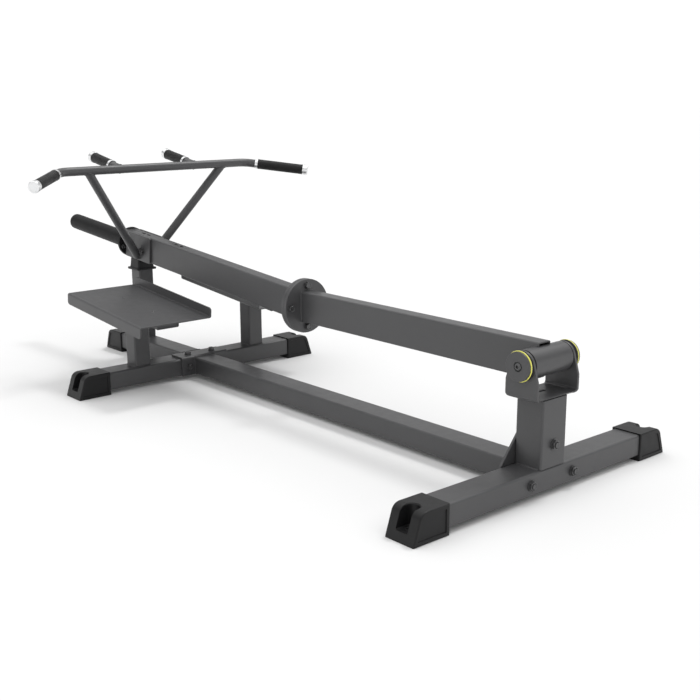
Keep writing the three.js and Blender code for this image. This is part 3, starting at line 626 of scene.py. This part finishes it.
def clevis_stations():
    """Stations of the bent plate from the top of the right ear to the top of the left one."""
    outer, inner = CLEVIS_HALF, CLEVIS_HALF - CLEVIS_SHEET
    heights = [PIVOT.z + EAR_RADIUS * math.cos(math.radians(a)) for a in range(0, 73, 3)] + [PIVOT.z]
    heights += [PIVOT.z + EAR_SHOULDER * k / 4 for k in range(1, 5)] + [235, CLEVIS_FLOOR + CLEVIS_BEND]
    right = [((outer, z), (inner, z)) for z in heights]
    centre = Vector((outer - CLEVIS_BEND, CLEVIS_FLOOR + CLEVIS_BEND))
    for a in QUARTER[1:]:
        ray = Vector((math.cos(a), -math.sin(a)))
        right.append((centre + ray * CLEVIS_BEND, centre + ray * (CLEVIS_BEND - CLEVIS_SHEET)))
    left = [((-a[0], a[1]), (-b[0], b[1])) for a, b in reversed(right)]
    return [((a, ear_half(a[1])), (b, ear_half(b[1]))) for a, b in right + left]


slit = moved(prism(rounded(8, 26, 3.4), -7, 10, 0.1, 1), at((-5, 4, CLEVIS_FLOOR + CLEVIS_SHEET)))
make("finished_clevis", [bent_sheet(clevis_stations())], "steel", nodes=["clevis"],
     place=at((PIVOT.x, 0, 0)), cutters=[slit])

for side, s in SIDES:
    face = at((PIVOT.x, s * CLEVIS_HALF, PIVOT.z), "y")
    if s > 0:
        face = face @ Matrix.Rotation(math.pi, 4, "X")
    spacer = turned([(5.3, 0.1), (27, 0.1), (27, 5), (32, 5), (32, 6.8), (5.3, 6.8)], 0.6)
    make(f"pivot_spacer_{side}", [spacer], "cap", place=face)
    ring = turned([(5.3, 6.9), (32.5, 6.9), (32.5, 9), (5.3, 9)], 0.9, steps=4)
    make(f"finished_pivot_ring_{side}", [ring], "accent", nodes=[f"pivot_ring_{side}"], place=face)
    cap = turned([(9.6, 9.1), (31, 9.1), (31, 14), (10.2, 13.6), (9.6, 10)], 1.2, steps=5)
    recess = turned([(5.5, 9.2), (10.5, 9.2), (10.5, 10.6), (5.5, 10.6)], 0.3, 48, 2)
    make(f"finished_pivot_cap_{side}", [cap, recess], "cap", nodes=[f"pivot_cap_{side}"], place=face)
    corners = [(0, 6), (5, 6), (5, 11), (8.5, 11), (8.5, 12.6), (6.4, 15.2), (3.9, 15.5)]
    make(f"finished_pivot_screw_{side}", [socket_screw(corners, 0.7, 3.7, (15.1, 12.0), 11.2)],
         "fixing", nodes=[f"pivot_screw_{side}"], place=face)

shaft = frame["nodes"]["pivot_shaft"]
shaft.data.materials.clear()
shaft.data.materials.append(LOOKS["fixing"])

# ---------- rest post and bumper ----------

ARM_JOINT = Vector((ARM_JOINT_X, 0, PIVOT.z))
FRONT_ARM = at(ARM_JOINT, "z", ARM_RISE)
low, high = box("rest_post")
REST_X, REST_TOP = (low.x + high.x) / 2, high.z
make("finished_rest_post", [tube(POST, POST, POST_CORNER, WALL, low.z, high.z)], "steel",
     nodes=["rest_post"], place=at((REST_X, 0, 0)))


def under_arm(x):
    """Height just under the front arm at rest."""
    rise = math.radians(ARM_RISE)
    return PIVOT.z - (x - ARM_JOINT_X) * math.tan(rise) - (ARM_HEIGHT / 2 + GAP) / math.cos(rise)


# width, corner radius and height of the bumper's lip and neck, then its sloping crown
levels = [(66.6, 8, 0), (68, 8, 0.8), (68, 8, 5.2), (66.4, 8, 6), (57.6, 7, 6.0), (56.7, 7, 7.2),
          (54, 7, 16)]
rings = [[(x, y, z) for x, y in rounded(width, width, radius)] for width, radius, z in levels]
for width, drop in ((51.5, 2.4), (50.4, 0.8), (47.5, 0.0)):
    rings.append([(x, y, under_arm(REST_X + x) - REST_TOP - drop)
                  for x, y in rounded(width, width, 7)])
make("finished_rest_bumper", [shell(rings)], "foot", nodes=["rest_bumper"],
     place=at((REST_X, 0, REST_TOP)))

# ---------- treads ----------

TREAD_HALF_LENGTH, TREAD_HALF, TREAD_SHEET = 203, 112.5, 4
TREAD_LIP_DOWN, TREAD_LIP_UP, TREAD_ROUND = -32, 24, 9
TREAD_BEND, TREAD_BEND_INNER = 6, 2
TREAD_X, TREAD_Y, TREAD_Z, TREAD_TILT = -1328, 193, 235, 5.4
TREAD_POST_Y = 199
SUPPORT_WIDTH, SUPPORT_HEIGHT, SUPPORT_LENGTH = 70, 25, 320
SUPPORT_Z = -16.8               # centre of the support tube under the tread


def tread_half(z):
    """Half the tread's length at a height, with the lips' corners rounded."""
    over = max(z - (TREAD_LIP_UP - TREAD_ROUND), TREAD_LIP_DOWN + TREAD_ROUND - z, 0)
    return TREAD_HALF_LENGTH - TREAD_ROUND + math.sqrt(max(TREAD_ROUND ** 2 - over ** 2, 0))


def tread_stations():
    """Stations of the bent plate from its downward outer lip to its upward inner lip."""
    edge, bend, inner = TREAD_HALF, TREAD_BEND, TREAD_BEND_INNER
    pairs = []
    for a in QUARTER:
        z = TREAD_LIP_DOWN + TREAD_ROUND * (1 - math.cos(a))
        pairs.append(((edge, z), (edge - TREAD_SHEET, z)))
    for a in QUARTER:
        ray, centre = Vector((math.cos(a), math.sin(a))), Vector((edge - bend, -bend))
        pairs.append((centre + ray * bend, centre + ray * inner))
    for a in QUARTER:
        ray, centre = Vector((-math.sin(a), -math.cos(a))), Vector((bend - edge, inner))
        pairs.append((centre + ray * inner, centre + ray * bend))
    for a in QUARTER:
        z = TREAD_LIP_UP - TREAD_ROUND + TREAD_ROUND * math.sin(a)
        pairs.append(((TREAD_SHEET - edge, z), (-edge, z)))
    return [((a, tread_half(a[1])), (b, tread_half(b[1]))) for a, b in pairs]


SCREW = [(0, -1), (3, -1), (5, 0), (5, 0.5), (4, 2.2), (2.5, 2.9)]
for side, s in SIDES:
    place = at((TREAD_X, s * TREAD_Y, TREAD_Z), "z", TREAD_TILT)
    flip = Matrix.Identity(4) if s > 0 else Matrix.Rotation(math.pi, 4, "Z")
    make(f"finished_tread_{side}", [moved(bent_sheet(tread_stations(), 0.8), flip)], "steel",
         nodes=[f"tread_{side}"], place=place)
    screw = socket_screw(SCREW, 0.5, 2.3, (2.6, 0.8), 0.6)
    screws = [moved(screw, Matrix.Translation((x, 0, -1.2))) for x in (-82, 82)]
    make(f"tread_screws_{side}", screws, "fixing", place=place)

    half = SUPPORT_LENGTH / 2
    support = tube(SUPPORT_WIDTH, SUPPORT_HEIGHT, 4, WALL, -half, half)
    end = prism(rounded(SUPPORT_WIDTH - 4, SUPPORT_HEIGHT - 4, 3), -2, 2, 0.6)
    parts = [moved(support, place @ at((0, 0, SUPPORT_Z), "x"))]
    parts += [moved(end, place @ at((x, 0, SUPPORT_Z), "x")) for x in (3 - half, half - 3)]

    # the post's upper end is cut to the support's slope, against its underside
    tilt = math.radians(TREAD_TILT)
    under = TREAD_Z + (SUPPORT_Z - SUPPORT_HEIGHT / 2 + 0.7) / math.cos(tilt)
    points, faces = tube(POST, POST, POST_CORNER, WALL, BEAM_TOP, under)
    for p in points:
        if p.z > (BEAM_TOP + under) / 2:
            p.z -= p.x * math.tan(tilt)
        p.x += TREAD_X
        p.y += s * TREAD_POST_Y
    make(f"finished_tread_post_{side}", [parts[0], (points, faces), *parts[1:]], "steel",
         nodes=[f"tread_post_{side}"])

# ---------- lever ----------

PIVOT_BORE, PIVOT_RADIUS = 27, 31.5
half = box("pivot_tube")[1].y
barrel = turned([(PIVOT_BORE, -half), (PIVOT_RADIUS, -half), (PIVOT_RADIUS, half),
                 (PIVOT_BORE, half)], 0.9)
make("finished_pivot_tube", [moved(barrel, at(PIVOT, "y"))], "steel", "lever", ["pivot_tube"])
for side, s in SIDES:
    face = at(PIVOT, "y") if s < 0 else at(PIVOT, "y") @ Matrix.Rotation(math.pi, 4, "X")
    bearing = turned([(15.1, 34.3), (26.7, 34.3), (26.7, 59.3), (29.5, 59.3), (29.5, 61.3),
                      (15.1, 61.3)], 0.5, 64, 2)
    make(f"finished_pivot_bearing_{side}", [bearing], "plastic", "lever", [f"pivot_bearing_{side}"],
         face)


def disc(start, end):
    """Flange plate about z."""
    corners = [(0, start), (FLANGE_RADIUS, start), (FLANGE_RADIUS, end), (0, end)]
    return turned(corners, 1.0, loop=False)


arm = tube(ARM_WIDTH, ARM_HEIGHT, ARM_CORNER, WALL, ARM_JOINT_X + 8, box("rear_arm")[1].x)
# the arm is coped round the pivot tube, and open below it
cope = moved(prism(circle(PIVOT_RADIUS + GAP, 96), -60, 60, 0.1, 1), at(PIVOT, "y"))
under = moved(prism(rounded(60, 100, 1), -60, 60, 0.1, 1), at((PIVOT.x + 20, 0, PIVOT.z - 50), "y"))
make("finished_rear_arm", [moved(arm, at((0, 0, PIVOT.z), "x"))], "steel", "lever", ["rear_arm"],
     cutters=[cope, under])
make("rear_arm_flange", [moved(disc(0, FLANGE), at(ARM_JOINT, "x"))], "steel", "lever")

FRONT_LENGTH = 869
arm = tube(ARM_WIDTH, ARM_HEIGHT, ARM_CORNER, WALL, -FRONT_LENGTH, -6)
SLOTS_X, SLOT_SHIFT = (-598, -784), 14          # pairs of slots in the top wall
slots = [moved(prism(rounded(18, 8, 3.9), 30, 50, 0.1, 1), at((x + shift, 0, 0)))
         for x in SLOTS_X for shift in (-SLOT_SHIFT, SLOT_SHIFT)]
make("finished_front_arm", [moved(arm, at((0, 0, 0), "x"))], "steel", "lever", ["front_arm"],
     FRONT_ARM, slots)
make("front_arm_flange", [moved(disc(-FLANGE, -GAP), at(ARM_JOINT, "x"))], "steel", "lever")

HORN_RADIUS, HORN_LENGTH, HORN_NOSE = 25, 372, 7
STOP_RADIUS, STOP = 46, 10
STOP_X = -FRONT_LENGTH - GAP    # rear face of the stop disc, along the front arm
rim = 0.8
profile = [(0, 0), (STOP_RADIUS - rim, 0), (STOP_RADIUS, rim), (STOP_RADIUS, STOP - rim),
           (STOP_RADIUS - rim, STOP), (HORN_RADIUS, STOP)]
profile += [(HORN_RADIUS - HORN_NOSE * (1 - math.cos(a)), HORN_LENGTH - HORN_NOSE * (1 - math.sin(a)))
            for a in QUARTER]
profile.append((0, HORN_LENGTH))
make("finished_weight_horn", [lathe(profile, 72)], "horn", "lever", ["weight_horn"],
     FRONT_ARM @ at((STOP_X, 0, 0), "x") @ Matrix.Rotation(math.pi, 4, "X"))
ends = []
for y in (-34, 34):
    ends += [moved(part, at((STOP_X, y, -12), "x")) for part in bolt(7, 3, False)]
make("stop_flange_bolts", ends, "fixing", "lever", place=FRONT_ARM)

# ---------- handle ----------

HANDLE_X, HANDLE_Z, HANDLE_TILT = -1504, 602, 10
HANDLE = at((HANDLE_X, 0, HANDLE_Z), "z", HANDLE_TILT)
SWEEP, BEND_Y, BEND_RADIUS = math.radians(44), 317, 60
COLLAR = 9
SWEPT_COLLAR, SWEPT_GRIP = 34, 142              # from the bend's corner; length
NEUTRAL_Y, NEUTRAL_COLLAR, NEUTRAL_GRIP = 127, 46, 94
FORWARD = Vector((-1, 0, 0))


def sweep_of(s):
    """Direction of a swept end of the bar."""
    return Vector((math.sin(SWEEP), s * math.cos(SWEEP), 0))


def bar_path():
    """Line of the bent handle bar, from its left end to its right."""
    trim = BEND_RADIUS * math.tan(SWEEP / 2)
    centre = Vector((BEND_RADIUS, BEND_Y - trim, 0))
    half = []
    for k in range(13):
        a = SWEEP * k / 12
        half.append(centre + Vector((-math.cos(a), math.sin(a), 0)) * BEND_RADIUS)
    reach = SWEPT_COLLAR + COLLAR + SWEPT_GRIP + GAP
    half.append(Vector((0, BEND_Y, 0)) + sweep_of(1) * reach)
    other = [Vector((p.x, -p.y, p.z)) for p in reversed(half)]
    return other + half


make("finished_handle_bar", [pipe(bar_path())], "steel", "lever", ["handle_bar"], HANDLE)


def dressed_end(name, point, direction, grip_length):
    """Collar, grip and end cap on a tube."""
    place = HANDLE @ aimed(point, direction)
    bore, radius = BAR_RADIUS + 0.1, 15.5
    collar = turned([(bore, 0), (radius, 0), (radius, COLLAR), (bore, COLLAR)], 0.9, 64)
    make(f"finished_{name}_collar", [collar], "aluminium", "lever", [f"{name}_collar"], place)
    start = COLLAR + GAP
    end = start + grip_length
    grip = turned([(bore, start), (radius, start), (radius, start + 3), (radius - 0.4, start + 4.5),
                   (radius - 0.4, end - 4.5), (radius, end - 3), (radius, end), (bore, end)], 0.8, 72)
    make(f"finished_{name}_grip", [grip], "grip", "lever", [f"{name}_grip"], place, own_frame=True)
    base = end + GAP
    cap = turned([(0, base), (16.5, base), (16.5, base + 15), (14.5, base + 17), (12.2, base + 17),
                  (11.2, base + 16.3), (0, base + 16.3)], 1.0, 72, 4, loop=False)
    make(f"finished_{name}_cap", [cap], "aluminium", "lever", [f"{name}_cap"], place)


for side, s in SIDES:
    dressed_end(f"swept_{side}", Vector((0, s * BEND_Y, 0)) + sweep_of(s) * SWEPT_COLLAR, sweep_of(s),
                SWEPT_GRIP)
    root = Vector((0, s * NEUTRAL_Y, 0))
    end = NEUTRAL_COLLAR + COLLAR + NEUTRAL_GRIP
    make(f"finished_neutral_tube_{side}", [pipe([root + FORWARD * 4, root + FORWARD * end])], "steel",
         "lever", [f"neutral_tube_{side}"], HANDLE)
    dressed_end(f"neutral_{side}", root + FORWARD * NEUTRAL_COLLAR, FORWARD, NEUTRAL_GRIP)


def on_bar(point, direction):
    """Where the line from a point first meets the straight part of the handle bar."""
    axis = Vector((0, 1, 0))
    flat = direction - axis * direction.dot(axis)
    gap = point - HANDLE.translation
    gap = gap - axis * gap.dot(axis)
    a, b, c = flat.dot(flat), 2 * flat.dot(gap), gap.dot(gap) - (BAR_RADIUS + 0.2) ** 2
    return point + direction * (-b - math.sqrt(max(b * b - 4 * a * c, 0))) / (2 * a)


def round_bar(direction, radius=BAR_RADIUS):
    """Points round a bar that runs in a direction."""
    u = direction.orthogonal().normalized()
    v = direction.cross(u)
    return [u * x + v * y for x, y in circle(radius, 40)]


STRUT_TOP_Y, STRUT_FOOT = 233, (-1601, 32, 331)
SIDE_PLATE, SIDE_PLATE_X, SIDE_PLATE_LENGTH = 6, -793.5, 143
PLATE_BOTTOM = 317              # height of the side plates' lower edges at the struts
BEAD = 1.8
for side, s in SIDES:
    top = Vector((HANDLE_X, s * STRUT_TOP_Y, HANDLE_Z))
    foot = Vector((STRUT_FOOT[0], s * STRUT_FOOT[1], STRUT_FOOT[2]))
    direction = (top - foot).normalized()
    rod = pipe([foot - direction * 34, top - direction * 4])
    inside = moved(prism(rounded(400, 240, 1), -25.5, 25.5, 0.1, 1), FRONT_ARM @ at((-800, 0, 0), "y"))
    below = moved(prism(rounded(400, 100, 1), -60, 60, 0.1, 1), FRONT_ARM @ at((-800, 0, -85), "y"))
    make(f"finished_handle_strut_{side}", [rod], "steel", "lever", [f"handle_strut_{side}"],
         cutters=[inside, below])
    inner = ARM_WIDTH / 2 + GAP
    outer = inner + SIDE_PLATE
    faces = (inner, outer) if s < 0 else (-outer, -inner)
    plate = prism(rounded(SIDE_PLATE_LENGTH, ARM_HEIGHT, 6), *faces, 1.0)
    make(f"strut_plate_{side}", [moved(plate, at((SIDE_PLATE_X, 0, 0), "y"))], "steel", "lever",
         place=FRONT_ARM)

    around = round_bar(direction)
    beads = [weld([on_bar(foot + p, direction) for p in around], BEAD)]
    bead = [p + direction * ((outer * s - p.y) / direction.y) for p in (foot + q for q in around)]
    beads.append(weld([p for p in bead if p.z > PLATE_BOTTOM], BEAD, closed=False))
    forward = (HANDLE.to_3x3() @ FORWARD).normalized()
    start = HANDLE @ Vector((0, s * NEUTRAL_Y, 0)) + forward * 60
    beads.append(weld([on_bar(start + p, -forward) for p in round_bar(forward, BAR_RADIUS + 0.1)],
                      BEAD))
    make(f"handle_welds_{side}", beads, "steel", "lever")

# ---------- weld beads ----------

def loop_at(width, height, radius, matrix):
    """Line round the foot of a rectangular tube."""
    return [matrix @ Vector((x, y, 0)) for x, y in rounded(width, height, radius, 4)]


beads = []
for face in (box("rear_joint_plate")[0].x, box("front_joint_bracket")[1].x,
             box("front_cross_beam")[0].x):
    beads.append(weld(loop_at(BEAM_WIDTH, BEAM_HEIGHT, BEAM_CORNER, at((face, 0, BEAM_MIDDLE), "x"))))
beads.append(weld(loop_at(POST, POST, POST_CORNER, at((REST_X, 0, BEAM_TOP)))))
for side, s in SIDES:
    foot = at((TREAD_X, s * TREAD_POST_Y, BEAM_TOP))
    beads.append(weld(loop_at(POST, POST, POST_CORNER, foot)))
    beads.append(weld([(x, s * REAR_POST / 2, BEAM_TOP) for x in (-64, -6)], closed=False))
    beads.append(weld([(x, s * REAR_POST / 2, CLEVIS_FLOOR) for x in (-64, -8)], closed=False))
make("frame_welds", beads, "steel")

beads = [weld(loop_at(ARM_WIDTH, ARM_HEIGHT, ARM_CORNER, place)) for place in (
    at((ARM_JOINT_X + FLANGE, 0, PIVOT.z), "x"),
    at((ARM_JOINT_X - FLANGE - GAP, 0, PIVOT.z + 0.9), "x"),
    FRONT_ARM @ at((0.5 + STOP_X, 0, 0), "x"))]
root = FRONT_ARM @ at((STOP_X - STOP, 0, 0), "x")
beads.append(weld([root @ Vector((x, y, 0)) for x, y in circle(HORN_RADIUS, 40)]))
for s in (-1, 1):
    arc = [math.radians(a) for a in range(92, 261, 4)]
    beads.append(weld([PIVOT + Vector((31.6 * math.cos(a), s * ARM_WIDTH / 2, 31.6 * math.sin(a)))
                       for a in arc], closed=False))
make("lever_welds", beads, "steel", "lever")

# ---------- studio ----------

FLOOR_COLOUR, FLOOR_GLOW, FLOOR_REACH = 0.76, 0.03, 60
LIGHTS = (("overhead", 2.75, 118, (0.0, 0.0, -1.0)), ("key", 0.85, 11, (0.0, -0.52, -1.0)))
SKY = ((0.10, 1.0), (0.25, 0.62), (0.40, 0.10), (1.0, 0.10))    # height over the horizon, brightness
SKY_STRENGTH = 1.2

floor_mesh = bpy.data.meshes.new("floor")
corners = [(x * FLOOR_REACH, y * FLOOR_REACH, 0) for x, y in ((-1, -1), (1, -1), (1, 1), (-1, 1))]
floor_mesh.from_pydata(corners, [], [(0, 1, 2, 3)])
floor = bpy.data.objects.new("floor", floor_mesh)
bpy.context.scene.collection.objects.link(floor)
paint = bpy.data.materials.new("floor")
paint.use_nodes = True
white = paint.node_tree.nodes["Principled BSDF"]
white.inputs["Base Color"].default_value = (FLOOR_COLOUR, FLOOR_COLOUR, FLOOR_COLOUR, 1)
white.inputs["Roughness"].default_value = 1.0
white.inputs["Specular IOR Level"].default_value = 0.0
white.inputs["Emission Color"].default_value = (1, 1, 1, 1)
white.inputs["Emission Strength"].default_value = FLOOR_GLOW
floor_mesh.materials.append(paint)

for name, strength, spread, direction in LIGHTS:
    sun = bpy.data.lights.new(name, "SUN")
    sun.energy = strength
    sun.angle = math.radians(spread)
    lamp = bpy.data.objects.new(name, sun)
    lamp.rotation_mode = "QUATERNION"
    lamp.rotation_quaternion = Vector(direction).to_track_quat("-Z", "Y")
    bpy.context.scene.collection.objects.link(lamp)

# the sky is white at the horizon and dim overhead
world = bpy.data.worlds.new("studio")
bpy.context.scene.world = world
world.use_nodes = True
tree = world.node_tree
ray = tree.nodes.new("ShaderNodeTexCoord")
split = tree.nodes.new("ShaderNodeSeparateXYZ")
ramp = tree.nodes.new("ShaderNodeValToRGB")
tree.links.new(ray.outputs["Generated"], split.inputs[0])
tree.links.new(split.outputs["Z"], ramp.inputs["Fac"])
tree.links.new(ramp.outputs["Color"], tree.nodes["Background"].inputs["Color"])
for element, (height, level) in zip(ramp.color_ramp.elements, (SKY[0], SKY[-1])):
    element.position = height
    element.color = (level, level, level, 1)
for height, level in SKY[1:-1]:
    ramp.color_ramp.elements.new(height).color = (level, level, level, 1)
tree.nodes["Background"].inputs["Strength"].default_value = SKY_STRENGTH
bpy.context.scene.view_settings.view_transform = "Standard"

# ---------- camera ----------

YAW, PITCH, ROLL, LENS = 138.7246, -13.647, 0.1375, 54.71
camera = bpy.data.objects.new("camera", bpy.data.cameras.new("camera"))
camera.data.lens = LENS
camera.data.sensor_width = 36
camera.location = (2.3133, -1.6937, 0.8194)
camera.rotation_mode = "QUATERNION"
yaw, pitch = math.radians(YAW), math.radians(PITCH)
forward = Vector((math.cos(yaw) * math.cos(pitch), math.sin(yaw) * math.cos(pitch), math.sin(pitch)))
turn = forward.to_track_quat("-Z", "Y").to_matrix() @ Matrix.Rotation(-math.radians(ROLL), 3, "Z")
camera.rotation_quaternion = turn.to_quaternion()
camera.data.clip_end = 200
bpy.context.scene.collection.objects.link(camera)
bpy.context.scene.camera = camera
